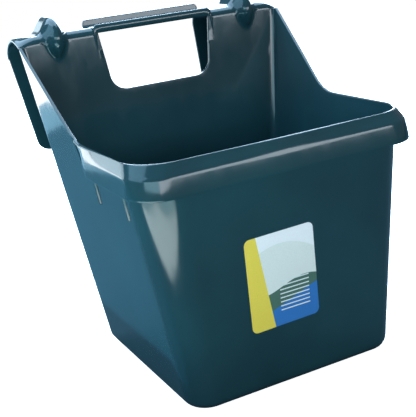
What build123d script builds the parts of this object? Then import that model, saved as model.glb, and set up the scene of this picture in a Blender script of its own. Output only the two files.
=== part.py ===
from build123d import *
from math import cos, pi
import os

# A bucket feeder that hangs on a fence board. It is one plastic moulding with a label on it.
# X runs across the width, the front is towards -Y and the fence towards +Y, in millimetres.
# The origin is the middle of the underside of the base.

# Bucket, outside faces. The walls lean outwards from the base to the rim.
base_width = 235
base_depth = 231
rim_height = 251.5
side_lean = 32
front_lean = 6.5
back_lean = 21
front_corner_base = 26
front_corner_rim = 44
back_corner_base = 19
back_corner_rim = 11
wall = 3.2
floor_thickness = 3.6
base_edge_radius = 12

# Rim: the wall top turns out into a skirt that hangs down outside the wall.
skirt_drop = 31
rim_overhang_side = 2.6
rim_overhang_front = 4.6
skirt_flare_side = 0.4
skirt_flare_front = 3.6
skirt_corner = 33
skirt_wall = 2.4
rim_roll = 5.5
skirt_end = 7
skirt_end_run = 28

# Side wings that sweep up from the rim to the top of the back wall.
wing_foot = 31
wing_bend = 55
wing_top_setback = 4

# Hooks over the board.
hook_rise = 96.5
hook_sheet = 3.6
board_gap = 47
hook_depth = 134
hook_front_bend = 9
hook_rear_bend = 20
hook_end_slant = 20
hook_inner_slant = 9
hook_tip_corner = 11
hook_inner = 73
hook_outer_inset = 2.5
hook_foot_drop = 34

# Rounded ridge that stiffens the middle of each hook.
ridge_place = 116
ridge_half_width = 17
ridge_radius = 25
ridge_side_radius = 7
ridge_centre_drop = 7
ridge_setback = 20
ridge_length = 20
ridge_steps = 4

# Hand opening in the back wall and the carry handle over it.
opening_top_half = 68.5
opening_bottom_half = 60
opening_top_drop = 6.2
opening_rise = 25.5
opening_low_corner = 19
opening_top_corner = 3
handle_front_rise = 2.9
handle_rear_rise = 6.8
handle_depth = 38
handle_end_corner = 5

# Lugs under the skirt that keep stacked feeders from jamming.
lug_places = (-73, 0)
lug_thick = 5
lug_proud = 2.6
lug_length = 27.5

# Self-adhesive label on the front wall.
label_width = 76
label_height = 96
label_centre_x = -13.5
label_centre_height = 115
label_turn = 1.2
label_corner = 6
label_thick = 0.35

# Sizes worked out from those above.
back_slope = back_lean / rim_height
front_slope = front_lean / rim_height
side_slope = side_lean / rim_height
hook_top = rim_height + hook_rise
hook_foot = hook_top - hook_foot_drop
wall_top = hook_top - hook_front_bend
opening_bottom = rim_height + opening_rise
opening_top = hook_top - opening_top_drop
skirt_bottom = rim_height - skirt_drop
lug_bottom = skirt_bottom - lug_length
reach = 2 * (base_width + base_depth)


def half_width_at(height):
    """Outside of the side walls at a height."""
    return base_width / 2 + side_slope * height


def front_at(height):
    """Outside of the front wall at a height."""
    return -base_depth / 2 - front_slope * height


def back_at(height):
    """Outside of the back wall, towards the fence, at a height."""
    return base_depth / 2 + back_slope * height


def corner_at(base, rim, height):
    """Corner radius at a height, growing evenly from the base to the rim."""
    return base + (rim - base) * height / rim_height


def bucket_outline(height, inset=0.0):
    """Rounded rectangle of the bucket at a height, moved inwards by the inset."""
    half = half_width_at(height) - inset
    front = front_at(height) + inset
    back = back_at(height) - inset
    with BuildSketch(Plane.XY.offset(height)) as outline:
        with BuildLine():
            Polyline((-half, front), (half, front), (half, back), (-half, back), close=True)
        make_face()
        fillet(
            outline.vertices().group_by(Axis.Y)[0],
            corner_at(front_corner_base, front_corner_rim, height) - inset,
        )
        fillet(
            outline.vertices().group_by(Axis.Y)[-1],
            corner_at(back_corner_base, back_corner_rim, height) - inset,
        )
    return outline.sketch


def rim_outline(height, side, front, inset=0.0):
    """Outline of the skirt: straight sides, rounded front corners, ends drawn in to the wall."""
    half = half_width_at(rim_height) + side - inset
    front_y = front_at(rim_height) - front + inset
    drawn_in = half_width_at(rim_height) - wall / 2
    end = skirt_end + skirt_end_run
    with BuildSketch(Plane.XY.offset(height)) as outline:
        with BuildLine():
            Polyline(
                (-half, front_y), (half, front_y), (half, skirt_end), (drawn_in, end),
                (-drawn_in, end), (-half, skirt_end), close=True,
            )
        make_face()
        fillet(outline.vertices().group_by(Axis.Y)[0], skirt_corner - inset)
    return outline.sketch


# Solid shape of the bucket, carried up past the rim to the top of the back wall.
with BuildPart() as envelope:
    add(bucket_outline(0))
    add(bucket_outline(wall_top))
    loft()
    fillet(envelope.faces().sort_by(Axis.Z)[0].edges(), base_edge_radius)

# Hollow of the bucket.
with BuildPart() as hollow:
    add(bucket_outline(floor_thickness, wall))
    add(bucket_outline(wall_top, wall))
    loft()
    fillet(hollow.faces().sort_by(Axis.Z)[0].edges(), base_edge_radius - wall)

# Everything above the rim, the wings and the back wall, seen from the side.
with BuildPart() as cut_away:
    with BuildSketch(Plane.YZ) as side_view:
        wing_end = back_at(wall_top) - wall - wing_top_setback
        with BuildLine():
            Polyline(
                (-reach, rim_height), (wing_foot, rim_height), (wing_end, wall_top),
                (wing_end, reach), (-reach, reach), close=True,
            )
        make_face()
        fillet(side_view.vertices().group_by(Axis.Y)[0].sort_by(Axis.X)[-1], wing_bend)
    extrude(amount=reach, both=True)

# Hand opening, cut straight through the back wall.
with BuildPart() as hand_hole:
    with BuildSketch(Plane.XZ.offset(-back_at(0))) as hole:
        with BuildLine():
            Polyline(
                (-opening_bottom_half, opening_bottom), (opening_bottom_half, opening_bottom),
                (opening_top_half, opening_top), (-opening_top_half, opening_top), close=True,
            )
        make_face()
        fillet(hole.vertices().group_by(Axis.Y)[0], opening_low_corner)
        fillet(hole.vertices().group_by(Axis.Y)[-1], opening_top_corner)
    extrude(amount=-board_gap)

# Whole wall of the moulding, from the base to the foot of the hooks' bend.
with BuildPart() as walls:
    add(envelope.part)
    add(hollow.part, mode=Mode.SUBTRACT)
    add(cut_away.part, mode=Mode.SUBTRACT)
    add(hand_hole.part, mode=Mode.SUBTRACT)

with BuildPart() as tub:
    add(walls.part)
    split(bisect_by=Plane.XY.offset(rim_height), keep=Keep.BOTTOM)

with BuildPart() as back_panel:
    add(walls.part)
    split(bisect_by=Plane.XY.offset(rim_height), keep=Keep.TOP)
    split(bisect_by=Plane.XY.offset(hook_foot), keep=Keep.BOTTOM)

# Hollow under the rim, between the skirt and the wall of the bucket.
with BuildPart() as rim_hollow:
    add(rim_outline(skirt_bottom, rim_overhang_side + skirt_flare_side,
                    rim_overhang_front + skirt_flare_front, skirt_wall))
    add(rim_outline(rim_height - wall, rim_overhang_side, rim_overhang_front, skirt_wall))
    loft()

# The rolled rim: its top joins the wall, its skirt hangs free and ends in a slant at the back.
with BuildPart() as rim_lip:
    add(rim_outline(skirt_bottom, rim_overhang_side + skirt_flare_side,
                    rim_overhang_front + skirt_flare_front))
    add(rim_outline(rim_height, rim_overhang_side, rim_overhang_front))
    loft()
    fillet(rim_lip.faces().sort_by(Axis.Z)[-1].edges().sort_by(Axis.Y)[:-1], rim_roll)
    add(rim_hollow.part, mode=Mode.SUBTRACT)
    add(envelope.part, mode=Mode.SUBTRACT)
    with BuildSketch(Plane.YZ):
        with BuildLine():
            Polyline(
                (skirt_end, skirt_bottom), (skirt_end + skirt_end_run, rim_height),
                (reach, rim_height), (reach, skirt_bottom), close=True,
            )
        make_face()
    extrude(amount=reach, both=True, mode=Mode.SUBTRACT)


def ridge_body(inset):
    """Ridge over a hook: a long round loaf, highest in the middle of its width."""
    centre = back_at(hook_top) + ridge_setback
    height = hook_top - ridge_centre_drop
    with BuildPart() as loaf:
        for step in range(-ridge_steps, ridge_steps + 1):
            swell = cos(pi / 2 * step / ridge_steps)
            radius = ridge_side_radius + (ridge_radius - ridge_side_radius) * swell - inset
            place = ridge_place + (ridge_half_width - inset) * step / ridge_steps
            with BuildSketch(Plane.YZ.offset(place)):
                with Locations((centre, height)):
                    SlotOverall(ridge_length + 2 * radius, 2 * radius)
        loft(ruled=True)
    return loaf.part


ridge = ridge_body(0)
ridge_hollow = ridge_body(hook_sheet)

# Space for the board, which stays clear behind the back wall and under the hooks.
with BuildPart() as board_space:
    with BuildSketch(Plane.YZ) as space:
        with BuildLine():
            Polyline(
                (back_at(hook_top), hook_top - hook_sheet),
                (back_at(hook_top) + board_gap, hook_top - hook_sheet),
                (back_at(hook_top) + board_gap, 0), (back_at(0), 0), close=True,
            )
        make_face()
        upper = space.vertices().group_by(Axis.Y)[-1].sort_by(Axis.X)
        fillet(upper[0], hook_front_bend - hook_sheet)
        fillet(upper[-1], hook_rear_bend - hook_sheet)
    extrude(amount=reach)

# Right hook: the wall bends back over the board and hangs down behind it.
with BuildPart() as hook_right:
    with BuildSketch(Plane.YZ) as bent_sheet:
        rear = back_at(hook_top) + board_gap + hook_sheet
        with BuildLine():
            Polyline(
                (back_at(hook_foot) - wall, hook_foot), (back_at(hook_top) - wall, hook_top),
                (rear, hook_top), (rear, hook_top - hook_depth),
                (rear - hook_sheet, hook_top - hook_depth), (rear - hook_sheet, hook_foot),
                close=True,
            )
        make_face()
        upper = bent_sheet.vertices().group_by(Axis.Y)[-1].sort_by(Axis.X)
        fillet(upper[0], hook_front_bend)
        fillet(upper[-1], hook_rear_bend)
    extrude(amount=reach)
    add(ridge)
    add(board_space.part, mode=Mode.SUBTRACT)
    add(ridge_hollow, mode=Mode.SUBTRACT)
    outer = half_width_at(hook_top) - hook_outer_inset
    tip = hook_top - hook_depth
    shoulder = hook_top - hook_rear_bend
    with BuildSketch(Plane.XZ) as front_view:
        with BuildLine():
            Polyline(
                (hook_inner, hook_top + ridge_radius), (hook_inner, shoulder),
                (hook_inner + hook_inner_slant, tip), (outer - hook_end_slant, tip),
                (outer, shoulder), (outer, hook_top + ridge_radius), close=True,
            )
        make_face()
        fillet(front_view.vertices().group_by(Axis.Y)[0], hook_tip_corner)
    extrude(amount=reach, both=True, mode=Mode.INTERSECT)

# The corner of the back wall beside the hook belongs to the hook above its foot.
with BuildPart() as wall_corner:
    add(walls.part)
    split(bisect_by=Plane.XY.offset(hook_foot), keep=Keep.TOP)
    split(bisect_by=Plane.YZ.offset(hook_inner), keep=Keep.TOP)
with BuildPart() as hook_right_whole:
    add(hook_right.part)
    add(wall_corner.part)
with BuildPart() as hook_left_whole:
    mirror(hook_right_whole.part, about=Plane.YZ)

# Carry handle: the wall top over the hand opening, turned back into an open channel.
with BuildPart() as carry_handle:
    front_face = back_at(hook_top) - wall
    rear_face = front_face + handle_depth
    with BuildSketch(Plane.YZ) as channel:
        with BuildLine():
            Polyline(
                (back_at(hook_foot) - wall, hook_foot), (front_face, hook_top),
                (front_face, hook_top + handle_front_rise),
                (front_face + wall, hook_top + handle_front_rise), (front_face + wall, hook_top),
                (rear_face - wall, hook_top), (rear_face - wall, hook_top + handle_rear_rise),
                (rear_face, hook_top + handle_rear_rise), (rear_face, hook_top - hook_sheet),
                (back_at(hook_top), hook_top - hook_sheet), (back_at(hook_foot), hook_foot),
                close=True,
            )
        make_face()
    extrude(amount=hook_inner, both=True)
    rail_ends = carry_handle.edges().filter_by(Axis.Y).group_by(Axis.Z)[-1]
    fillet(rail_ends, handle_end_corner)
    add(hand_hole.part, mode=Mode.SUBTRACT)

# Lugs between the skirt and the side walls, two on each side.
skirt_inside = half_width_at(rim_height) + rim_overhang_side - skirt_wall
with BuildPart() as stacking_lugs:
    for place in lug_places:
        with BuildSketch(Plane.XZ.offset(-place)):
            with BuildLine():
                Polyline(
                    (half_width_at(lug_bottom) - wall, lug_bottom),
                    (half_width_at(lug_bottom) + lug_proud, lug_bottom),
                    (half_width_at(skirt_bottom) + lug_proud, skirt_bottom),
                    (skirt_inside + skirt_flare_side, skirt_bottom),
                    (skirt_inside, rim_height - wall),
                    (half_width_at(skirt_bottom) - wall, rim_height - wall), close=True,
                )
            make_face()
        extrude(amount=lug_thick / 2, both=True)
    mirror(about=Plane.YZ)
    add(envelope.part, mode=Mode.SUBTRACT)

# Label, face to face with the front wall.
label_plane = Plane(
    origin=(label_centre_x, front_at(label_centre_height), label_centre_height),
    x_dir=(1, 0, 0),
    z_dir=(0, -1, -front_slope),
)
with BuildPart() as label:
    with BuildSketch(label_plane):
        RectangleRounded(label_width, label_height, label_corner, rotation=label_turn)
    extrude(amount=label_thick)

os.makedirs("parts", exist_ok=True)
for name, piece in (
    ("tub", tub),
    ("back_panel", back_panel),
    ("rim_lip", rim_lip),
    ("hook_left", hook_left_whole),
    ("hook_right", hook_right_whole),
    ("carry_handle", carry_handle),
    ("stacking_lugs", stacking_lugs),
    ("label", label),
):
    piece.part.label = name
    export_step(piece.part, f"parts/{name}.step")
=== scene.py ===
import math

import bmesh
import bpy
import numpy as np
from mathutils import Matrix, Vector


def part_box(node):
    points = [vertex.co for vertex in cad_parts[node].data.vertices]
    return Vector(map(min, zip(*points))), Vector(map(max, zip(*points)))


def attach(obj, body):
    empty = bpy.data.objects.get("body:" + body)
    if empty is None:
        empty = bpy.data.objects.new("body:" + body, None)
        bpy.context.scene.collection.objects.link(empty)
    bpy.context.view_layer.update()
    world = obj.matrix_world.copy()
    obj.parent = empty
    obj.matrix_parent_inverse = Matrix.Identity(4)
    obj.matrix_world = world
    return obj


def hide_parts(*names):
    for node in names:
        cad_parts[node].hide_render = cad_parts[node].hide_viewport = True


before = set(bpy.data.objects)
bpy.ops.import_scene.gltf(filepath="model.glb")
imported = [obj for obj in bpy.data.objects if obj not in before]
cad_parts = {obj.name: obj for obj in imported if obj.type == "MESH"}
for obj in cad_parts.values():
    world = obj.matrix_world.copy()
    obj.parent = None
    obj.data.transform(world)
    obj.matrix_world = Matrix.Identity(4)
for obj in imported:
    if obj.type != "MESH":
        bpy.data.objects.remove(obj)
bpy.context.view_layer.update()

# Bucket body: base, four walls, side wings, back wall and the rolled rim with its skirt.
# Injection moulded polyethylene, one skin of even thickness, smooth and glossy as it left the mould.
# It is drawn as one closed surface: a section carried round the bucket, so that no joint shows.
mm = 0.001
rim_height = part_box("tub")[1][2] / mm
base_half = 117.5
half_depth = 115.5
side_lean, front_lean, back_lean = 32.0, 6.5, 21.0
front_corners, back_corners = (26.0, 44.0), (19.0, 11.0)
wall = 3.2
floor_thickness = 3.6
base_edge = 12.0
hook_top, hook_foot = 348.0, 314.0
front_bend = 9.0
wall_top = hook_top - front_bend
wing_foot, wing_bend, wing_setback = 31.0, 55.0, 4.0
skirt_drop, skirt_wall, skirt_corner = 31.0, 2.4, 33.0
shoulder_drop, shoulder_share, hollow_drop = 11.5, 0.86, 14.0
overhang_side, overhang_front = 2.6, 4.6
flare_side, flare_front = 0.4, 3.6
skirt_end, skirt_end_run, skirt_end_top = 7.0, 28.0, 3.5
opening_bottom, opening_top = 277.0, 341.8
opening_bottom_half, opening_top_half, opening_corner = 60.0, 68.5, 19.0
edge_round = 0.9
back_half = base_half + side_lean - back_corners[1]
foot_column, bottom_column, foot_reach = 74.0, 42.0, 153.0
column_level, ceiling_round = 200.0, 2.0
crest_radius, crest_limit, crest_start = 2.1, 0.3, 1.65


def back_at(z):
    """Outside of the back wall at a height: a straight line leaning back."""
    return half_depth + back_lean * z / rim_height


def wing_edge(y):
    """Height of the wall's top along the side: level rim, a tangent arc, then a straight climb."""
    end = back_at(wall_top) - wall - wing_setback
    slope = (wall_top - rim_height) / (end - wing_foot)
    angle = math.atan(slope)
    run = wing_bend * math.tan(angle / 2)
    start, stop = wing_foot - run, wing_foot + run * math.cos(angle)
    across = np.clip(y - start, 0, wing_bend * 0.999)
    arc = rim_height + wing_bend - np.sqrt(wing_bend ** 2 - across ** 2)
    climb = rim_height + (y - wing_foot) * slope
    height = np.where(y < start, rim_height, np.where(y < stop, arc, climb))
    return np.minimum(height, wall_top)


class Outline:
    """Columns round the bucket. Each is a straight line up the wall: a blend of two corner
    centres by a fraction, plus the blended corner radius along the column's outward normal."""

    def __init__(self):
        from_corner, to_corner, part, normal = [], [], [], []

        def straight(a, b, fractions, n):
            for f in fractions:
                from_corner.append(a)
                to_corner.append(b)
                part.append(f)
                normal.append(n)

        def bend(corner, start, count):
            for angle in np.radians(start + np.linspace(0, 90, count + 1)[1:-1]):
                straight(corner, corner, [0.0], (math.cos(angle), math.sin(angle)))

        # Columns stand closest along the side where the skirt draws in and the wing begins.
        side_front, wing_begun, side_rear = -78.0, 62.0, 125.5
        side = np.concatenate([
            np.linspace(side_front, skirt_end, 20), np.linspace(skirt_end, wing_begun, 34)[1:],
            np.linspace(wing_begun, side_rear, 14)[1:],
        ])
        side = (side - side[0]) / (side[-1] - side[0])
        front_columns, front_bend_columns, back_bend_columns = 40, 26, 16
        straight(3, 0, np.linspace(0, 1, front_columns), (0, -1))
        bend(0, -90, front_bend_columns)
        straight(0, 1, side, (1, 0))
        bend(1, 0, back_bend_columns)
        self.back_start = len(part)
        straight(1, 2, self.back_fractions(), (0, 1))
        self.back_end = len(part)
        bend(2, 90, back_bend_columns)
        straight(2, 3, 1 - side[::-1], (-1, 0))
        bend(3, 180, front_bend_columns)
        self.a, self.b = np.array(from_corner), np.array(to_corner)
        self.part, self.normal = np.array(part, float), np.array(normal, float)

    def back_fractions(self):
        """Back wall: the first and last columns stand twice, as the wall's top steps there."""
        half = np.concatenate([
            [back_half], np.linspace(back_half, foot_column, 14),
            np.linspace(foot_column, bottom_column, 25)[1:], np.linspace(bottom_column, 0, 8)[1:],
        ])
        return (1 - np.concatenate([half, -half[-2::-1]]) / back_half) / 2

    def centre(self, corner, z):
        """Centre of a corner's arc at a height, the same for the outside and the inside."""
        front_radius = front_corners[0] + (front_corners[1] - front_corners[0]) * z / rim_height
        back_radius = back_corners[0] + (back_corners[1] - back_corners[0]) * z / rim_height
        right, back = (corner == 0) | (corner == 1), (corner == 1) | (corner == 2)
        radius = np.where(back, back_radius, front_radius)
        x = base_half + side_lean * z / rim_height - radius
        y = np.where(back, back_at(z) - radius, -half_depth - front_lean * z / rim_height + radius)
        return np.stack([np.where(right, x, -x), y], -1), radius

    def at(self, z, inset):
        """Points of all columns at a height (one number or one for each column) and an inset."""
        z = np.broadcast_to(np.asarray(z, float), self.part.shape)
        inset = np.broadcast_to(np.asarray(inset, float), self.part.shape)
        first_centre, first_radius = self.centre(self.a, z)
        next_centre, next_radius = self.centre(self.b, z)
        radius = (first_radius * (1 - self.part) + next_radius * self.part) - inset
        part = self.part[:, None]
        flat = first_centre * (1 - part) + next_centre * part + radius[:, None] * self.normal
        return np.column_stack([flat, z])


def smooth_solid(name, points, quads, sharp=38):
    """Mesh from points in millimetres and quads: doubles are merged, faces turned outward, and edges
    over an angle in degrees are sharp."""
    mesh = bpy.data.meshes.new(name)
    mesh.vertices.add(len(points))
    mesh.vertices.foreach_set("co", (np.asarray(points, float) * mm).ravel())
    mesh.loops.add(quads.size)
    mesh.loops.foreach_set("vertex_index", quads.ravel().astype(np.int32))
    mesh.polygons.add(len(quads))
    mesh.polygons.foreach_set("loop_start", np.arange(len(quads), dtype=np.int32) * 4)
    mesh.update(calc_edges=True)
    shape = bmesh.new()
    shape.from_mesh(mesh)
    bmesh.ops.remove_doubles(shape, verts=shape.verts, dist=2e-6)
    bmesh.ops.dissolve_degenerate(shape, edges=shape.edges, dist=1e-7)
    bmesh.ops.recalc_face_normals(shape, faces=shape.faces)
    if shape.calc_volume(signed=True) < 0:
        bmesh.ops.reverse_faces(shape, faces=shape.faces)
    shape.to_mesh(mesh)
    shape.free()
    mesh.shade_smooth()
    mesh.set_sharp_from_angle(angle=math.radians(sharp))
    piece = bpy.data.objects.new(name, mesh)
    bpy.context.scene.collection.objects.link(piece)
    return piece


def grid_quads(rows, columns):
    """Quads between the neighbours of a grid of points stored row by row, each row a closed ring."""
    row, column = np.meshgrid(np.arange(rows - 1), np.arange(columns), indexing="ij")
    following = (column + 1) % columns
    return np.stack([
        row * columns + column, row * columns + following,
        (row + 1) * columns + following, (row + 1) * columns + column,
    ], -1).reshape(-1, 4)


ring = Outline()
count = len(ring.part)
back = np.zeros(count, bool)
back[ring.back_start + 1:ring.back_end - 1] = True

# Top of each column, found in steps as the wall leans. On the back wall it follows the foot of the
# hooks and the opening's edge.
top_z = np.full(count, rim_height)
for _ in range(12):
    top_z = wing_edge(ring.at(top_z, 0)[:, 1])
top = ring.at(top_z, 0)
low = ring.at(top_z - 1, 0)
down = low - top
down /= np.linalg.norm(down, axis=1)[:, None]


def opening_edge(x):
    """Where the wall ends for a column at a place across it. The outer columns end at the hooks' foot,
    and the inner ones follow the opening: its straight side, its corner arc and its level bottom."""
    lean = (opening_top_half - opening_bottom_half) / (opening_top - opening_bottom)
    turn = math.pi / 2 - math.atan(lean)
    start = opening_bottom_half - opening_corner * math.tan(turn / 2)
    side_low = opening_bottom + opening_corner * (1 - math.cos(turn))
    side_low_x = start + opening_corner * math.sin(turn)
    foot_x = opening_bottom_half + lean * (hook_foot - opening_bottom)
    across = np.abs(x)
    share = np.clip((foot_column - across) / (foot_column - bottom_column), 0, 1)
    side_length = math.hypot(hook_foot - side_low, foot_x - side_low_x)
    along = share * (opening_corner * turn + side_length)
    on_side = np.clip(along / side_length, 0, 1)
    angle = np.clip((along - side_length) / opening_corner, 0, turn)
    edge_x = np.where(along < side_length, foot_x + (side_low_x - foot_x) * on_side,
                      start + opening_corner * np.sin(turn - angle))
    edge_z = np.where(along < side_length, hook_foot + (side_low - hook_foot) * on_side,
                      opening_bottom + opening_corner * (1 - np.cos(turn - angle)))
    away_x = np.where(along < side_length, math.sin(turn), np.sin(turn - angle))
    away_z = np.where(along < side_length, -math.cos(turn), -np.cos(turn - angle))
    flat = across <= bottom_column
    edge_x = np.where(flat, across * start / bottom_column, edge_x)
    edge_z = np.where(flat, opening_bottom, edge_z)
    away_x, away_z = np.where(flat, 0, away_x), np.where(flat, -1, away_z)
    beyond = across > foot_column - 1e-6
    spread = (foot_reach - foot_x) / (back_half - foot_column)
    edge_x = np.where(beyond, foot_x + (across - foot_column) * spread, edge_x)
    edge_z = np.where(beyond, hook_foot, edge_z)
    away_x, away_z = np.where(beyond, 0, away_x), np.where(beyond, -1, away_z)
    sign = np.sign(x)
    return edge_x * sign, edge_z, away_x * sign, away_z, beyond


x_at_rim = ring.at(rim_height, 0)[:, 0]
edge_x, edge_z, away_x, away_z, at_foot = opening_edge(x_at_rim)
corner_x = np.abs(ring.at(hook_foot, 0)[ring.back_start, 0])
edge_x = np.where(at_foot, np.sign(x_at_rim) * np.minimum(np.abs(edge_x), corner_x), edge_x)
edge_x[[ring.back_start + 1, ring.back_end - 2]] = corner_x * np.array([1, -1])
lean_back = back_lean / rim_height
top[back] = np.column_stack([edge_x, back_at(edge_z), edge_z])[back]
down[back] = np.column_stack([away_x, away_z * lean_back, away_z])[back]
down[back] /= np.linalg.norm(down[back], axis=1)[:, None]
rounded = np.where(back & at_foot, 0.0, edge_round)[:, None]
outwards = np.column_stack([ring.normal, np.zeros(count)])

# Rolled rim: how much of the overhang each column has, from full to none where the skirt ends.
y_at_rim = ring.at(rim_height, 0)[:, 1]
share = np.clip(1 - (y_at_rim - skirt_end) / skirt_end_run, 0, 1)
share[back] = 0
share = np.where(ring.normal[:, 1] > 0.01, 0, share)
crest = top[:, 2]
skirt_low = rim_height - skirt_drop + (skirt_drop + skirt_end_top) * (1 - share)
skirt_low = np.where(share > 0, np.minimum(skirt_low, crest - 0.5), crest)


def skirt_at(z, inset):
    """Points on the skirt: straight sides and front with tighter corners than the wall, flared down.
    Towards its ends it draws in until it meets the wall."""
    z = np.broadcast_to(np.asarray(z, float), (count,))
    fall = np.clip((rim_height - z) / skirt_drop, 0, 1)
    half = base_half + side_lean + overhang_side + flare_side * fall - inset
    front = -(half_depth + front_lean + overhang_front + flare_front * fall) + inset
    radius = skirt_corner - inset
    x, y = half - radius, front + radius
    on_side, on_front = np.abs(ring.normal[:, 0]) > 0.999, ring.normal[:, 1] < -0.999
    wall_point = ring.at(z, 0)
    wall_corner_x = np.abs(ring.at(rim_height, 0)[:, 0]).max() - front_corners[1]
    front_x = x_at_rim / wall_corner_x * x
    ahead = np.clip((y_at_rim - skirt_end) / (y_at_rim[on_side].min() - skirt_end), 0, 1)
    side_y = np.where(y_at_rim < skirt_end, skirt_end + ahead * (y - skirt_end), wall_point[:, 1])
    sign = np.sign(ring.normal[:, 0])
    point = np.column_stack([
        np.where(on_front, front_x, np.where(on_side, sign * half, sign * x + radius * ring.normal[:, 0])),
        np.where(on_front, front, np.where(on_side, side_y, y + radius * ring.normal[:, 1])),
        z,
    ])
    blend = share[:, None]
    return wall_point * (1 - blend) + point * blend


has_rim = (share > 0)[:, None]
rows = []

# Underside of the base and its rounded edge, from the middle outwards.
slope_out = np.einsum("ij,ij->i", ring.at(1, 0)[:, :2] - ring.at(0, 0)[:, :2], ring.normal)


def base_bend(floor, radius, inset, steps=9):
    """Rounded edge between a floor and the leaning wall: a circle arc tangent to both."""
    made = []
    reach = slope_out * radius - radius * np.sqrt(1 + slope_out ** 2)
    for portion in np.linspace(0, 1, steps):
        angle = portion * np.arctan2(1, slope_out)
        rise = radius * (1 - np.cos(angle))
        made.append(ring.at(floor + rise, inset + slope_out * rise - reach - radius * np.sin(angle)))
    return made


bottom_bend = base_bend(0.0, base_edge, 0.0)
flat_portions = (0.0, 0.35, 0.8, 0.96)
for portion in flat_portions:
    rows.append(bottom_bend[0] * np.array([portion, portion, 1]))
rows += bottom_bend

# Outside of the wall up to the edge, or to the hollow under the rim.
ring_low = ring.at(column_level, 0)
ceiling = crest - hollow_drop * share
ceiling_low = ceiling - ceiling_round * share
edge_start = top + down * rounded
wall_stop = np.where(has_rim, ring.at(np.maximum(ceiling_low, column_level + 1), 0), edge_start)
for portion in np.linspace(0, 1, 7)[1:]:
    rows.append(bottom_bend[-1] * (1 - portion) + ring_low * portion)
for portion in np.linspace(0, 1, 12)[1:]:
    rows.append(ring_low * (1 - portion) + wall_stop * portion)

# Hollow under the rim, the skirt's inside, its lower edge and its outside.
skirt_inside_top = skirt_at(ceiling_low, skirt_wall)
ceiling_wall = ring.at(ceiling, 0)
ceiling_skirt = skirt_at(ceiling, skirt_wall)


def keep(point):
    """A row of the rim, closed up on the wall's edge where there is no rim."""
    return np.where(has_rim, point, edge_start)


for toward_skirt in (0.2, 0.7):
    rows.append(keep(ceiling_wall * (1 - toward_skirt) + ceiling_skirt * toward_skirt))
rows.append(keep(skirt_inside_top))
skirt_foot = skirt_low + 0.8 * share
for portion in np.linspace(0, 1, 6)[1:]:
    height = ceiling_low * (1 - portion) + skirt_foot * portion
    height = np.maximum(height, skirt_foot)
    rows.append(keep(skirt_at(height, skirt_wall)))
for rise, inset in ((0.23, skirt_wall - 0.25), (0.0, skirt_wall - 0.85), (0.0, 0.95), (0.25, 0.3)):
    rows.append(keep(skirt_at(skirt_low + rise * share, inset)))

# Outside of the rim, from its lower edge to the crest: steep below, then a shoulder that leans in,
# tangent to a round bead over the wall's inner edge. Where there is no rim the edge is rounded.
inner_edge = ring.at(crest, wall)
inner_edge[back] = (top - outwards * wall)[back]
outer_edge = skirt_at(crest, 0.0)
span = np.linalg.norm((outer_edge - inner_edge)[:, :2], axis=1)
bead = np.where(share > 0, np.minimum(crest_radius, crest_limit * (crest - skirt_low)), rounded[:, 0])
slope = (shoulder_share * span - crest_start * bead) / shoulder_drop
start = bead * (1 - slope + np.sqrt(1 + slope ** 2)) / np.maximum(span, 2.0)
first_turn = np.where(share > 0, np.arctan2(1, slope), 0)
bead_low = bead * (1 - np.cos(first_turn))
steps, row_spacing, skirt_curve = 26, 1.3, 1.6
mix_width, mix_depth, edge_from = 0.16, 0.08, 0.6
for step in range(steps):
    portion = step / (steps - 1)
    depth = bead_low + (crest - skirt_low - 1.0 * share - bead_low) * (1 - portion) ** row_spacing
    fall = depth / np.maximum(crest - skirt_low - 1.0 * share, 0.1) * skirt_drop
    shoulder = start + (shoulder_share - start) * fall / shoulder_drop
    lower = np.clip((fall - shoulder_drop) / (skirt_drop - shoulder_drop), -1, 1)
    curve = np.where(lower < 0, skirt_curve * lower, 1 - (1 - lower) ** skirt_curve)
    below = shoulder_share + (1 - shoulder_share) * curve
    mixing = np.clip(0.5 + (below - shoulder) / mix_width, 0, 1)
    out_share = (below * (1 - mixing) + shoulder * mixing - mix_depth * mixing * (1 - mixing))[:, None]
    rim_point = inner_edge * (1 - out_share) + skirt_at(crest - depth, 0.0) * out_share
    rim_point[:, 2] = crest - depth
    angle = math.radians(90) * max(0.0, (portion - edge_from) / (1 - edge_from))
    plain = top + down * (rounded * (1 - math.sin(angle))) - outwards * (rounded * (1 - math.cos(angle)))
    rows.append(np.where(has_rim, rim_point, plain))
toward = np.where(has_rim, (outer_edge - inner_edge) / span[:, None], outwards)
for portion in np.linspace(0, 1, 10):
    turn = first_turn * (1 - portion) - math.pi / 2 * portion
    shift = (bead * (1 + np.sin(turn)))[:, None]
    fall = (bead * (1 - np.cos(turn)))[:, None]
    rows.append(inner_edge + toward * shift + np.where(has_rim, np.array([0, 0, -1.0]), down) * fall)

# Inside of the wall, the rounded edge of the floor, and the floor.
floor_bend = base_bend(floor_thickness, base_edge - wall, wall)
inside_low = ring.at(column_level, wall)
inside_top = rows[-1]
for portion in np.linspace(0, 1, 12)[1:]:
    rows.append(inside_top * (1 - portion) + inside_low * portion)
for portion in np.linspace(0, 1, 7)[1:-1]:
    rows.append(inside_low * (1 - portion) + floor_bend[-1] * portion)
rows += floor_bend[::-1]
for portion in flat_portions[::-1]:
    rows.append(floor_bend[0] * np.array([portion, portion, 1]))

body = smooth_solid("bucket_body", np.concatenate(rows), grid_quads(len(rows), count))
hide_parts("tub", "back_panel", "rim_lip")
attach(body, "root")

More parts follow.
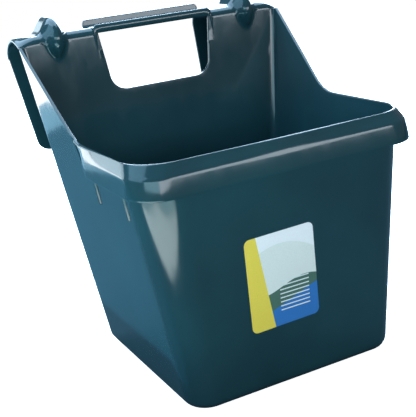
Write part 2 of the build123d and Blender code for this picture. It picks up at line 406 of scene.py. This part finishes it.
# Hooks: the back wall's sheet runs on over the board and hangs down behind it, left and right.
# Same moulding. A hollow round ridge stiffens the bend of each, and the sheet swells out over it.
hook_sheet, board_gap, hook_depth, rear_bend = 3.6, 47.0, 134.0, 20.0
hook_inner, hook_outer_inset = 73.0, 2.5
hook_inner_slant, hook_outer_slant, tip_corner = 9.0, 20.0, 11.0
ridge_place, ridge_half, ridge_radius, ridge_side = 117.5, 17.0, 24.5, 7.0
ridge_drop, ridge_setback, ridge_length = 7.0, 20.0, 20.0
ridge_power, ridge_soft = 1.4, 4.0
hook_outer = base_half + side_lean * hook_top / rim_height - hook_outer_inset
rear_face = back_at(hook_top) + board_gap + hook_sheet
hook_tip = hook_top - hook_depth
arch_start, arch_middle, arch_crown, arch_fall, arch_rear = 140.0, 167.0, 347.0, 7.7, 326.0
arch_width, arch_power = 24.0, 1.7
wall_overlap, flange_middle, tip_length = 3.5, 300.0, 12.0
hook_columns, wall_rows, fade_rows = 64, 18, 4


def hook_path(depth):
    """Side view of the sheet at a depth under its outer face: up the wall, over two bends, and down
    the flange. The bends are circle arcs tangent to the straight parts."""
    under = depth * hook_sheet
    lean = math.atan(lean_back)

    def front(z):
        return back_at(z) - wall * (1 - depth)

    first, second = front_bend - under, rear_bend - under
    level = hook_top - under
    reach = first * math.tan((math.pi / 2 - lean) / 2)
    centre = np.array([front(level) + reach, level - first])
    rise = np.linspace(hook_foot, level - reach * math.cos(lean), 20)
    points = np.column_stack([front(rise), rise])
    turn = np.linspace(math.pi - lean, math.pi / 2, 8)
    points = np.concatenate([points[:-1], centre + first * np.column_stack([np.cos(turn), np.sin(turn)])])
    rear = rear_face - under
    flat = np.linspace(centre[0], rear - second, 26)[1:-1]
    points = np.concatenate([points, np.column_stack([flat, np.full(flat.shape, level)])])
    turn = np.linspace(math.pi / 2, 0, 12)
    points = np.concatenate([points, np.array([rear - second, level - second])
                             + second * np.column_stack([np.cos(turn), np.sin(turn)])])
    drop = np.concatenate([
        np.linspace(level - second, flange_middle, 14)[1:],
        np.linspace(flange_middle, hook_tip + tip_length, 8)[1:],
        hook_tip + tip_length * (1 - np.sin(np.linspace(0, math.pi / 2, 14)))[1:],
    ])
    return np.concatenate([points, np.column_stack([np.full(drop.shape, rear), drop])])


def arch(y):
    """Side view of the sheet's outer edge: it rises from the wing's edge to a low crown over the
    board and falls off in a quarter ellipse, so the hook's outer corner is soft."""
    before = np.clip((arch_middle - y) / (arch_middle - arch_start), 0, 2)
    rise = arch_crown - arch_fall * before ** arch_power
    reach = rear_face - arch_middle
    drop = (arch_crown - arch_rear) * (1 - np.sqrt(1 - np.clip((y - arch_middle) / reach, 0, 1) ** 2))
    return np.where(y < arch_middle, rise, arch_crown - drop)


def swell(x, path, depth):
    """Pushes the sheet out to the ridge: radially from the ridge's axis to a radius that falls
    off as a power of a cosine across its width, with a soft crease where it leaves the sheet."""
    start = back_at(hook_top) + ridge_setback - ridge_length / 2
    height = hook_top - ridge_drop
    nearest = np.clip(path[:, 0], start, start + ridge_length)
    away = np.column_stack([path[:, 0] - nearest, path[:, 1] - height])
    distance = np.maximum(np.linalg.norm(away, axis=1), 0.5)
    across = np.abs(x - ridge_place) / ridge_half
    swelling = np.cos(np.pi / 2 * np.minimum(across, 1)) ** ridge_power
    radius = ridge_side + (ridge_radius - ridge_side) * swelling
    radius = radius - np.maximum(across - 1, 0) * ridge_half - depth * hook_sheet
    over, soft = radius - distance[:, None], ridge_soft
    push = np.where(over > soft, over, np.where(over < -soft, 0, (over + soft) ** 2 / (4 * soft)))
    return push[:, :, None] * (away / distance[:, None])[:, None, :]


def hook_edges(path):
    """Inner and outer edge of the hook at each height: straight above, slanting on the flange, with
    circle arcs at the tip. In the wall the sheet runs a little way into the corner of the bucket."""
    shoulder = hook_top - rear_bend
    on_flange = path[:, 0] > back_at(hook_top) + board_gap / 2
    fall = np.where(on_flange, np.clip((shoulder - path[:, 1]) / (shoulder - hook_tip), 0, 1), 0)
    near = np.where(on_flange, np.clip(1 - (path[:, 1] - hook_tip) / tip_corner, 0, 1), 0)
    cut = tip_corner * (1 - np.sqrt(1 - near ** 2))
    in_wall = (path[:, 1] < wall_top - 0.2) & ~on_flange
    outer = np.where(in_wall, corner_x + wall_overlap, hook_outer - hook_outer_slant * fall - cut)
    return hook_inner + hook_inner_slant * fall + cut, outer


def make_hook(side, name):
    """Closed sheet. Each point of the path gives a ring: the outer face across, a round edge, the
    inner face back and a round edge. The faces are moved out over the ridge and down at the corner."""
    across = np.linspace(0, 1, hook_columns)
    faces = []
    for depth in (0.0, 1.0):
        path = hook_path(depth)
        inner, outer = hook_edges(path)
        x = inner[:, None] + (outer - inner)[:, None] * across[None, :]
        moved = swell(x, path, depth)
        soft = np.clip((x - (hook_outer - arch_width)) / arch_width, 0, 1) ** 2
        past_middle, under = path[:, 0] > arch_middle, depth * hook_sheet
        bent = (path[:, 1] > wall_top - 1.0) | ((path[:, 1] > arch_rear) & past_middle)
        droop = np.minimum(arch(path[:, 0] + under * past_middle) - under - path[:, 1], 0) * bent
        height = path[:, 1][:, None] + moved[:, :, 1] + soft * droop[:, None]
        points = np.stack([x, path[:, 0][:, None] + moved[:, :, 0], height], -1)
        faces.append(points)
    outside, inside = faces
    trim = edge_round / hook_sheet
    rim_rows = []
    for end in (0, -1):
        edge_out, edge_in = outside[:, end], inside[:, end]
        rim_rows.append((edge_out * (1 - trim) + edge_in * trim, edge_in * (1 - trim) + edge_out * trim))
    past_wall = np.clip((np.arange(len(outside)) - wall_rows) / fade_rows, 0, 1)
    free = past_wall[:, None] * np.array([edge_round, 0, 0])
    outside[:, 0] += free
    inside[:, 0] += free
    outside[:, -1] -= free
    inside[:, -1] -= free
    loop = np.concatenate([
        outside, rim_rows[1][0][:, None], rim_rows[1][1][:, None],
        inside[:, ::-1], rim_rows[0][1][:, None], rim_rows[0][0][:, None],
    ], 1)
    first = np.repeat(loop[:1].mean(1, keepdims=True), loop.shape[1], 1)
    first[:, :, 2] = hook_foot
    last = np.repeat(loop[-1:].mean(1, keepdims=True), loop.shape[1], 1)
    last[:, :, 2] = hook_tip
    loop = np.concatenate([first, loop, last])
    loop = loop * np.array([side, 1, 1])
    hook = smooth_solid(name, loop.reshape(-1, 3), grid_quads(loop.shape[0], loop.shape[1]))
    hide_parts(name.replace("_sheet", ""))
    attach(hook, "root")
    return hook


hooks = [make_hook(side, name) for side, name in ((1, "hook_right_sheet"), (-1, "hook_left_sheet"))]

# Carry handle: the wall's top over the opening, turned back into an open channel with two rails.
# Same moulding, its edges rounded for the hand.
handle_front_rise, handle_rear_rise, handle_depth = 2.9, 6.8, 38.0
channel_edge, channel_seat, rail_corner, rail_end = 0.9, 0.5, 4.5, 3.0


def swept(name, profile, half, level, corner):
    """A side view carried straight across from one end to the other, closed by a fan at each end.
    What stands above a level falls off at both ends in a quarter circle of the corner's radius."""
    turns = np.linspace(0, math.pi / 2, 7)
    stations = [(half, 0.0, 0.0), (half, 1.0, 0.0)] + [
        (half - corner * (1 - math.cos(turn)), 1.0, math.sin(turn)) for turn in turns[1:]]
    stations = [(-x, scale, rise) for x, scale, rise in stations] + stations[::-1]
    points = []
    for x, scale, rise in stations:
        height = np.where(profile[:, 1] > level, level + (profile[:, 1] - level) * rise, profile[:, 1])
        flat = np.column_stack([profile[:, 0], height])
        flat = flat.mean(0) + (flat - flat.mean(0)) * scale
        points.append(np.column_stack([np.full(len(profile), x), flat]))
    return smooth_solid(name, np.concatenate(points), grid_quads(len(points), len(profile)))


def rounded_profile(corners, radius, steps=5):
    """Polygon with each corner turned into an arc of a radius, tangent to both of its sides."""
    corners = np.array(corners, float)
    made = []
    for before, here, after in zip(np.roll(corners, 1, 0), corners, np.roll(corners, -1, 0)):
        one, two = before - here, after - here
        one, two = one / np.linalg.norm(one), two / np.linalg.norm(two)
        half = math.acos(np.clip(one @ two, -1, 1)) / 2
        reach = radius / math.tan(half)
        centre = here + (one + two) / np.linalg.norm(one + two) * radius / math.sin(half)
        start, stop = here + one * reach - centre, here + two * reach - centre
        begin = math.atan2(start[1], start[0])
        turn = (math.atan2(stop[1], stop[0]) - begin + math.pi) % (2 * math.pi) - math.pi
        for portion in np.linspace(0, 1, steps):
            angle = begin + turn * portion
            made.append(centre + radius * np.array([math.cos(angle), math.sin(angle)]))
    return np.array(made)


handle_front = back_at(hook_top) - wall
handle_back = handle_front + handle_depth


def wall_frame(name):
    """Front rail and the two posts beside the opening, as one bent band: an outer and an inner
    outline in the plane of the back wall, with round edges, through the wall's thickness."""
    lean = (opening_top_half - opening_bottom_half) / (opening_top - opening_bottom)
    post_foot = opening_bottom_half + lean * (hook_foot - opening_bottom)
    rail_top = hook_top + handle_front_rise
    count_post, count_rail = 8, 30
    outer, inner = [], []
    for portion in np.linspace(0, 1, count_post):
        outer.append((-hook_inner, hook_foot + (rail_top - rail_end - hook_foot) * portion))
        inner.append((-post_foot - (opening_top_half - post_foot) * portion,
                      hook_foot + (opening_top - hook_foot) * portion))
    for portion in np.linspace(0, 1, count_rail):
        outer.append(((2 * portion - 1) * (hook_inner - rail_end), rail_top))
        inner.append(((2 * portion - 1) * opening_top_half, opening_top))
    half_outer, half_inner = np.array(outer[:count_post]), np.array(inner[:count_post])
    outer = np.concatenate([np.array(outer), half_outer[::-1] * np.array([-1, 1])])
    inner = np.concatenate([np.array(inner), half_inner[::-1] * np.array([-1, 1])])
    loop = []
    on_rail = np.clip((outer[:, 1] - wall_top) / (rail_top - wall_top), 0, 1)[:, None]
    trim = 0.1
    section = (
        (0.0, 0.25), (trim, 0.0), (0.9, 0.0), (1.0, 0.25),
        (1.0, 0.75), (0.9, 1.0), (trim, 1.0), (0.0, 0.75),
    )
    for share_in, deep in section:
        share_in = np.where(share_in == trim, trim * on_rail, share_in)
        deep = np.where((share_in < 0.5) & (on_rail == 0), round(deep), deep)
        flat = outer * (1 - share_in) + inner * share_in
        y = back_at(flat[:, 1]) - wall * (1 - deep[:, 0])
        loop.append(np.column_stack([flat[:, 0], y, flat[:, 1]]))
    loop = np.stack(loop, 1)
    start = np.repeat(loop[:1].mean(1, keepdims=True), loop.shape[1], 1)
    stop = np.repeat(loop[-1:].mean(1, keepdims=True), loop.shape[1], 1)
    loop = np.concatenate([start, loop, stop])
    return smooth_solid(name, loop.reshape(-1, 3), grid_quads(loop.shape[0], loop.shape[1]), sharp=50)


rail_frame = wall_frame("handle_front_rail")
channel = rounded_profile([
    (handle_front + wall - channel_seat, hook_top - hook_sheet), (handle_back, hook_top - hook_sheet),
    (handle_back, hook_top + handle_rear_rise), (handle_back - wall, hook_top + handle_rear_rise),
    (handle_back - wall, hook_top), (handle_front + wall - channel_seat, hook_top),
], channel_edge)
channel_floor = swept("handle_channel", channel, hook_inner, hook_top + 0.4, rail_corner)
for piece in (rail_frame, channel_floor):
    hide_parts("carry_handle")
    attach(piece, "root")

# Beads beside the opening: a slim stiffening bead down the inner face where each post meets a hook.
# Same moulding, its foot sunk half a millimetre in the wall's face.
bead_place, bead_foot, bead_top, bead_half, bead_proud = 72.4, 320.0, 342.0, 2.6, 1.3
bead_point, bead_sunk = 0.25, 0.5


def make_post_beads():
    """Half an ellipse across. From a point below up to the top its width grows in a straight line
    and its height as a sine."""
    points, quads = [], []
    turns = np.linspace(-math.pi / 2, math.pi / 2, 11)
    portions = np.concatenate([[0.0], np.linspace(0, 1, 14), [1.0]])
    for side in (1, -1):
        for index, portion in enumerate(portions):
            z = bead_foot + (bead_top - bead_foot) * portion
            width = bead_point + (bead_half - bead_point) * portion
            rise = bead_sunk + bead_proud * math.sin(math.pi / 2 * portion)
            x = side * bead_place + width * np.sin(turns)
            y = back_at(z) - wall + bead_sunk - rise * np.cos(turns)
            ring_points = np.column_stack([x, y, np.full(turns.shape, z)])
            if index in (0, len(portions) - 1):
                ring_points = ring_points * 0 + ring_points.mean(0)
            points.append(ring_points)
        first_row = (len(points) - len(portions)) * len(turns)
        quads.append(grid_quads(len(portions), len(turns)) + first_row)
    return smooth_solid("post_beads", np.concatenate(points), np.concatenate(quads))


post_beads = make_post_beads()
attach(post_beads, "root")

# Stacking lugs: two short ribs on each side wall under the skirt, which keep nested buckets apart.
# Same moulding, standing under two millimetres proud of the wall and rounded across.
lug_places, lug_thick, lug_proud, lug_bottom = (-73.0, 0.0), 4.2, 1.7, 193.0
lug_sunk, lug_overlap, lug_corner = 1.2, 8.0, 1.2


def make_lugs():
    """Four ribs: a front view of each with round corners, whose height off the wall follows a
    half ellipse across the rib's thickness."""
    lug_top = rim_height - skirt_drop + lug_overlap

    def out(z):
        return base_half + side_lean * z / rim_height

    face = rounded_profile([
        (out(lug_bottom) - lug_sunk, lug_bottom), (out(lug_bottom) + lug_proud, lug_bottom),
        (out(lug_top) + lug_proud, lug_top), (out(lug_top) - lug_sunk, lug_top),
    ], lug_corner)
    sunk = out(face[:, 1]) - lug_sunk
    turns = np.radians([-84, -84, -60, -40, -20, 0, 20, 40, 60, 84, 84])
    points, quads = [], []
    for side in (1, -1):
        for place in lug_places:
            for index, turn in enumerate(turns):
                x = sunk + np.maximum(face[:, 0] - sunk, 0) * math.cos(turn)
                flat = np.column_stack([x, face[:, 1]])
                if index in (0, len(turns) - 1):
                    flat = flat * 0 + flat.mean(0)
                y = np.full(len(face), place + math.sin(turn) * lug_thick / 2)
                points.append(np.column_stack([side * flat[:, 0], y, flat[:, 1]]))
            first_row = (len(points) - len(turns)) * len(face)
            quads.append(grid_quads(len(turns), len(face)) + first_row)
    return smooth_solid("lugs", np.concatenate(points), np.concatenate(quads))


lugs = make_lugs()
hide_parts("stacking_lugs")
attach(lugs, "root")

# Label: a sheet of printed gloss film stuck on the front wall, with rounded corners.
# Its print is a plain design of colour blocks: a pale ground, a slanting band,
# two fields and a block of fine stripes.
label_width, label_height, label_corner, label_thick = 76.0, 96.0, 6.0, 0.35
label_middle, label_turn = (-13.5, 115.0), math.radians(1.2)


def make_label():
    """Rounded rectangle in the plane of the front wall: its outline drawn in to the middle in rings."""
    corners = [(-1, -1), (1, -1), (1, 1), (-1, 1)]
    outline = rounded_profile([(sx * label_width / 2, sz * label_height / 2) for sx, sz in corners],
                              label_corner, steps=10)
    rings = []
    edge_low, edge_scale = label_thick * 0.6, 0.997
    for scale, rise in ((0, 0), (1, 0), (1, edge_low), (edge_scale, label_thick), (0, label_thick)):
        flat = outline * scale
        x = label_middle[0] + flat[:, 0] * math.cos(label_turn) - flat[:, 1] * math.sin(label_turn)
        z = label_middle[1] + flat[:, 0] * math.sin(label_turn) + flat[:, 1] * math.cos(label_turn)
        y = -half_depth - front_lean * z / rim_height - rise
        rings.append(np.column_stack([x, y, z]))
    quads = grid_quads(len(rings), len(outline))
    return smooth_solid("label_film", np.concatenate(rings), quads, sharp=30)


film = make_label()
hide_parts("label")
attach(film, "root")


def colour(hex_value):
    """Linear colour from an sRGB hex value."""
    channels = [int(hex_value[i:i + 2], 16) / 255 for i in (1, 3, 5)]
    return [c / 12.92 if c <= 0.04045 else ((c + 0.055) / 1.055) ** 2.4 for c in channels] + [1.0]


def add_node(tree, kind, settings=None, inputs=None, links=None):
    """Adds a node with its settings, its input values and its links from other sockets."""
    node = tree.nodes.new(kind)
    for key, value in (settings or {}).items():
        setattr(node, key, value)
    for key, value in (inputs or {}).items():
        node.inputs[key].default_value = value
    for key, socket in (links or {}).items():
        tree.links.new(socket, node.inputs[key])
    return node


def moulded_polyethylene():
    """Injection moulded polyethylene, dark blue green all through, off a polished mould.
    It gives sharp soft-box reflections, a faint waviness of the skin, and light rubs from handling."""
    material = bpy.data.materials.new("moulded_polyethylene")
    material.use_nodes = True
    tree = material.node_tree
    surface = tree.nodes["Principled BSDF"]
    place = add_node(tree, "ShaderNodeTexCoord").outputs["Object"]
    # Clouds about 110 mm across, rubs about 17 mm wide and nearly three times as tall, and waves of
    # the skin about 36 mm apart.
    cloud = add_node(tree, "ShaderNodeTexNoise", inputs={"Scale": 9.0, "Detail": 3.0, "Roughness": 0.5},
                     links={"Vector": place})
    tint = add_node(tree, "ShaderNodeValToRGB", links={"Fac": cloud.outputs["Fac"]})
    tint.color_ramp.elements[0].position, tint.color_ramp.elements[1].position = 0.3, 0.7
    tint.color_ramp.elements[0].color = colour("#1D3A41")
    tint.color_ramp.elements[1].color = colour("#21454C")
    tree.links.new(tint.outputs["Color"], surface.inputs["Base Color"])
    rub_place = add_node(tree, "ShaderNodeMapping", inputs={"Scale": (1.0, 1.0, 0.35)},
                         links={"Vector": place})
    rubs = add_node(tree, "ShaderNodeTexNoise", inputs={"Scale": 60.0, "Detail": 6.0, "Roughness": 0.6},
                    links={"Vector": rub_place.outputs["Vector"]})
    gloss = add_node(tree, "ShaderNodeMapRange", inputs={"From Min": 0.35, "From Max": 0.75,
                                                         "To Min": 0.08, "To Max": 0.16},
                     links={"Value": rubs.outputs["Fac"]})
    tree.links.new(gloss.outputs["Result"], surface.inputs["Roughness"])
    skin = add_node(tree, "ShaderNodeTexNoise", inputs={"Scale": 28.0, "Detail": 2.0, "Roughness": 0.4},
                    links={"Vector": place})
    wave = add_node(tree, "ShaderNodeBump", inputs={"Strength": 0.12, "Distance": 0.0012},
                    links={"Height": skin.outputs["Fac"]})
    tree.links.new(wave.outputs["Normal"], surface.inputs["Normal"])
    surface.inputs["IOR"].default_value = 1.51
    return material


def printed_film():
    """Gloss film printed in flat blocks of ink with a fine dot screen, smooth on top. The design is
    a band that slants across the left, two fields and fine stripes 4.2 mm apart low on the right."""
    material = bpy.data.materials.new("printed_gloss_film")
    material.use_nodes = True
    tree = material.node_tree
    surface = tree.nodes["Principled BSDF"]
    place = add_node(tree, "ShaderNodeTexCoord").outputs["Object"]
    centred = add_node(tree, "ShaderNodeMapping",
                       inputs={"Location": (-label_middle[0] * mm, 0, -label_middle[1] * mm)},
                       links={"Vector": place})
    axes = add_node(tree, "ShaderNodeSeparateXYZ", links={"Vector": centred.outputs["Vector"]})
    x, z = axes.outputs["X"], axes.outputs["Z"]

    def maths(operation, first, second):
        node = add_node(tree, "ShaderNodeMath", {"operation": operation})
        for socket, value in zip(node.inputs, (first, second)):
            if isinstance(value, (int, float)):
                socket.default_value = value
            else:
                tree.links.new(value, socket)
        return node.outputs["Value"]

    def over(below, ink, where):
        mix = add_node(tree, "ShaderNodeMix", {"data_type": "RGBA"}, links={0: where, 6: below})
        mix.inputs[7].default_value = colour(ink)
        return mix.outputs[2]

    # Places of the blocks in metres from the middle of the label.
    band_slant, band_edge = 0.16, -0.019
    hill_waves, hill_swing, hill_top = 62.0, 0.006, -0.008
    sea_slant, sea_top = 0.35, -0.026
    sky_bow, sky_edge = -9.0, 0.036
    stripe_waves, stripe_level = 1500.0, 0.6
    column_left, column_right, column_middle, column_half = -0.004, 0.029, -0.019, 0.017
    ground = add_node(tree, "ShaderNodeRGB")
    ground.outputs[0].default_value = colour("#EFF3EC")
    band = maths("LESS_THAN", maths("ADD", x, maths("MULTIPLY", z, band_slant)), band_edge)
    swing = maths("MULTIPLY", maths("SINE", maths("MULTIPLY", x, hill_waves), 0), hill_swing)
    hill = maths("LESS_THAN", z, maths("ADD", swing, hill_top))
    sea = maths("LESS_THAN", z, maths("ADD", maths("MULTIPLY", x, sea_slant), sea_top))
    bow = maths("MULTIPLY", maths("MULTIPLY", x, x), sky_bow)
    sky = maths("GREATER_THAN", z, maths("ADD", bow, sky_edge))
    ink = over(ground.outputs[0], "#FFFFFF", sky)
    ink = over(ink, "#557566", hill)
    ink = over(ink, "#3B7CC4", sea)
    stripes = maths("GREATER_THAN", maths("SINE", maths("MULTIPLY", z, stripe_waves), 0), stripe_level)
    column = maths("MULTIPLY", maths("GREATER_THAN", x, column_left), maths("LESS_THAN", x, column_right))
    off_middle = maths("ABSOLUTE", maths("ADD", z, -column_middle), 0)
    column = maths("MULTIPLY", column, maths("LESS_THAN", off_middle, column_half))
    ink = over(ink, "#EAF1EE", maths("MULTIPLY", stripes, column))
    ink = over(ink, "#FBE05A", band)
    # Dots of the print about 1 mm apart.
    screen = add_node(tree, "ShaderNodeTexNoise", inputs={"Scale": 900.0, "Detail": 1.0},
                      links={"Vector": place})
    faint = add_node(tree, "ShaderNodeMapRange", inputs={"To Min": 0.93, "To Max": 1.04},
                     links={"Value": screen.outputs["Fac"]})
    shade = add_node(tree, "ShaderNodeMix", {"data_type": "RGBA", "blend_type": "MULTIPLY"},
                     inputs={0: 1.0}, links={6: ink, 7: faint.outputs["Result"]})
    tree.links.new(shade.outputs[2], surface.inputs["Base Color"])
    surface.inputs["Roughness"].default_value = 0.24
    surface.inputs["IOR"].default_value = 1.49
    return material


plastic, print_film = moulded_polyethylene(), printed_film()
for piece in [body, rail_frame, channel_floor, post_beads, lugs] + hooks:
    piece.data.materials.append(plastic)
film.data.materials.append(print_film)
for name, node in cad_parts.items():
    node.data.materials.clear()
    node.data.materials.append(print_film if name == "label" else plastic)

# Studio: a floor and surroundings that are white to the camera, large bluish soft boxes in front,
# left, behind and above, and glowing cards on the floor whose reflections colour the left side.
floor_half = 4.0


def white_floor():
    """Matte floor: white to the camera, and a grey blue to all that is lit or mirrored by it, so
    that the gloss walls stay dark."""
    material = bpy.data.materials.new("matte_white_floor")
    material.use_nodes = True
    tree = material.node_tree
    surface = tree.nodes["Principled BSDF"]
    surface.inputs["Roughness"].default_value = 0.9
    surface.inputs["Specular IOR Level"].default_value = 0.0
    path = add_node(tree, "ShaderNodeLightPath")
    seen = add_node(tree, "ShaderNodeMix", {"data_type": "RGBA"}, links={0: path.outputs["Is Camera Ray"]})
    seen.inputs[6].default_value, seen.inputs[7].default_value = colour("#465860"), colour("#FFFFFF")
    tree.links.new(seen.outputs[2], surface.inputs["Base Color"])
    glow = add_node(tree, "ShaderNodeMath", {"operation": "MULTIPLY"}, inputs={1: 0.9},
                    links={0: path.outputs["Is Camera Ray"]})
    surface.inputs["Emission Color"].default_value = colour("#FFFFFF")
    tree.links.new(glow.outputs["Value"], surface.inputs["Emission Strength"])
    return material


floor_mesh = bpy.data.meshes.new("floor")
floor_corners = [(-1, -1), (1, -1), (1, 1), (-1, 1)]
floor_mesh.from_pydata([(x * floor_half, y * floor_half, 0) for x, y in floor_corners], [], [(0, 1, 2, 3)])
floor = bpy.data.objects.new("floor", floor_mesh)
bpy.context.scene.collection.objects.link(floor)
floor_mesh.materials.append(white_floor())

world = bpy.data.worlds.new("studio")
world.use_nodes = True
bpy.context.scene.world = world
world_path = add_node(world.node_tree, "ShaderNodeLightPath")
world_level = add_node(world.node_tree, "ShaderNodeMapRange", inputs={"To Min": 0.14, "To Max": 1.0},
                       links={"Value": world_path.outputs["Is Camera Ray"]})
backdrop = world.node_tree.nodes["Background"]
backdrop.inputs["Color"].default_value = colour("#FFFFFF")
world.node_tree.links.new(world_level.outputs["Result"], backdrop.inputs["Strength"])


def soft_box(name, place, target, size, power, tint):
    """Soft box, or a card that glows as evenly as one, at a place and aimed at a target, in metres
    and watts. The camera doesn't see it."""
    lamp = bpy.data.lights.new(name, "AREA")
    lamp.shape = "RECTANGLE"
    lamp.size, lamp.size_y = size
    lamp.energy = power
    lamp.color = colour(tint)[:3]
    box = bpy.data.objects.new(name, lamp)
    box.location = place
    box.rotation_euler = (Vector(target) - Vector(place)).to_track_quat("-Z", "Y").to_euler()
    box.visible_camera = False
    bpy.context.scene.collection.objects.link(box)


middle = (0, 0, 0.18)
card_level, bounce_level = 0.01, 0.004
soft_box("front_box", (0.35, -2.1, 0.68), middle, (2.6, 0.4), 24, "#E2EBF5")
soft_box("corner_box", (-1.5, -1.6, 0.7), middle, (1.7, 0.42), 12, "#AFDCEC")
soft_box("left_box", (-1.6, 0.1, 1.3), middle, (1.6, 1.4), 22, "#A4D8F8")
soft_box("rear_box", (-0.5, 1.9, 0.45), (0, 0.1, 0.25), (2.2, 0.8), 22, "#D6ECF8")
soft_box("right_rear_box", (0.95, 1.5, 0.85), middle, (1.5, 0.9), 62, "#D2E9FF")
soft_box("top_box", (0.05, 0.6, 1.6), (0, 0, 0.2), (2.4, 1.8), 76, "#BBDDFA")
soft_box("rear_card", (-0.62, 0.45, card_level), (-0.62, 0.45, 1.0), (0.96, 1.1), 1.05, "#45ABD4")
soft_box("pale_card", (-0.62, 1.12, card_level), (-0.62, 1.12, 1.0), (0.96, 0.24), 1.2, "#9AD2EE")
soft_box("white_card", (-0.62, 1.75, card_level), (-0.62, 1.75, 1.0), (0.96, 1.0), 16.0, "#F2FAFF")


def bounce_card(name, corners, level, tint):
    """Card of any outline flat on the floor, beside the picture, glowing evenly as a lit card does."""
    mesh = bpy.data.meshes.new(name)
    mesh.from_pydata([(x, y, bounce_level) for x, y in corners], [], [tuple(range(len(corners)))])
    material = bpy.data.materials.new(name)
    material.use_nodes = True
    surface = material.node_tree.nodes["Principled BSDF"]
    surface.inputs["Base Color"].default_value = colour("#FFFFFF")
    surface.inputs["Emission Color"].default_value = colour(tint)
    surface.inputs["Emission Strength"].default_value = level
    mesh.materials.append(material)
    card = bpy.data.objects.new(name, mesh)
    bpy.context.scene.collection.objects.link(card)


corner_outline = [(-0.35, -0.21), (-0.58, -0.01), (-0.54, -0.36), (-0.19, -0.64)]
side_outline = [(-0.6, -0.01), (-1.2, -0.1), (-0.8, -1.2), (-0.2, -0.66), (-0.55, -0.37)]
bounce_card("corner_card", corner_outline, 5.6, "#E6F2E8")
bounce_card("side_card", side_outline, 3.4, "#9FE0E0")

# Camera at the photograph's place: in front and to the left, a little higher than the hooks.
camera_place = Vector((-0.4150, -0.8076, 0.4400))
camera_right = Vector((0.8813, -0.4604, -0.1064))
camera_up = Vector((0.2286, 0.2183, 0.9487))
lens = bpy.data.cameras.new("photo_camera")
lens.sensor_fit, lens.sensor_width, lens.lens = "HORIZONTAL", 36.0, 77.72
lens.clip_start, lens.clip_end = 0.05, 20.0
camera = bpy.data.objects.new("photo_camera", lens)
camera_up = (camera_up - camera_up.dot(camera_right) * camera_right).normalized()
turned = Matrix((camera_right, camera_up, camera_right.cross(camera_up))).transposed()
camera.matrix_world = Matrix.Translation(camera_place) @ turned.to_4x4()
bpy.context.scene.collection.objects.link(camera)
bpy.context.scene.camera = camera
bpy.context.scene.view_settings.view_transform = "Standard"
